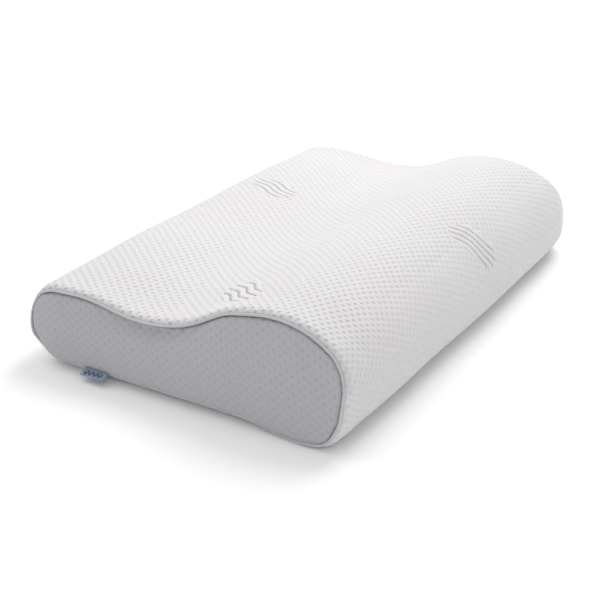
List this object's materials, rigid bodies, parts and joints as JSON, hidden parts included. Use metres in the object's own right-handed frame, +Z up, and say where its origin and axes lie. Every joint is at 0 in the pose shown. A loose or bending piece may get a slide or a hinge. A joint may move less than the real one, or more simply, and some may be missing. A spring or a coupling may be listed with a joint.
{
  "type": "bed pillow",
  "caption": "Contour bed pillow with a high and a low lobe: moulded foam core in a liner and a zipped knitted cover with piped grey end panels.",
  "frame": {"origin": "middle of the underside, on the surface the pillow lies on", "axes": "+X along the pillow, +Y across it from the high lobe to the low lobe, +Z up"},
  "size_m": [0.4949, 0.3205, 0.0965],
  "materials": {
    "white_knit": "thick dimpled jacquard knit, matte",
    "grey_knit": "thick dimpled knit, matte",
    "piping": "knit rolled over a cord, matte",
    "liner_jersey": "thin plain jersey, matte",
    "foam": "open-cell viscoelastic foam with a moulded skin, matte",
    "zip_tape": "woven polyester tape",
    "zip_coil": "nylon monofilament",
    "zip_metal": "light enamel on die-cast zinc",
    "woven_ribbon": "woven polyester ribbon with a plain two-tone pattern",
    "satin_ribbon": "satin ribbon"
  },
  "bodies": {
    "root": {"foam_core": "foam", "inner_liner": "liner_jersey", "cover_top": "white_knit", "cover_underside": "white_knit", "end_panel_left": "grey_knit", "end_panel_right": "grey_knit", "piping_left": "piping", "piping_right": "piping", "zip_top_stops": "zip_metal", "zip_bottom_stop": "zip_metal", "woven_tag": "woven_ribbon", "care_label": "satin_ribbon"},
    "upper_lip": {"zip_tape_upper": "zip_tape", "zip_coil_upper": "zip_coil"},
    "lower_lip": {"zip_tape_lower": "zip_tape", "zip_coil_lower": "zip_coil"},
    "zip_slider": {"zip_slider": "zip_metal"},
    "zip_pull": {"zip_pull": "zip_metal"}
  },
  "joints": [
    {"name": "zip_slide", "type": "slide", "parent": "root", "child": "zip_slider", "axis": [-1, 0, 0], "range_m": [0, 0.376]},
    {"name": "pull_hinge", "type": "hinge", "parent": "zip_slider", "child": "zip_pull", "pos_m": [0.188, 0.15995, 0.041], "axis": [0, 0, -1], "range_deg": [0, 168]},
    {"name": "upper_lip_opens", "type": "hinge", "parent": "root", "child": "upper_lip", "pos_m": [0, 0.1285, 0.041], "axis": [1, 0, 0], "range_deg": [0, 11.92], "deforming": ["zip_tape_upper", "zip_coil_upper"]},
    {"name": "lower_lip_opens", "type": "hinge", "parent": "root", "child": "lower_lip", "pos_m": [0, 0.1175, 0.041], "axis": [-1, 0, 0], "range_deg": [0, 8.44], "deforming": ["zip_tape_lower", "zip_coil_lower"]}
  ],
  "couplings": [
    {"joint": "upper_lip_opens", "follows": "zip_slide", "rad_per_m": 0.5509},
    {"joint": "lower_lip_opens", "follows": "zip_slide", "rad_per_m": 0.3896}
  ]
}
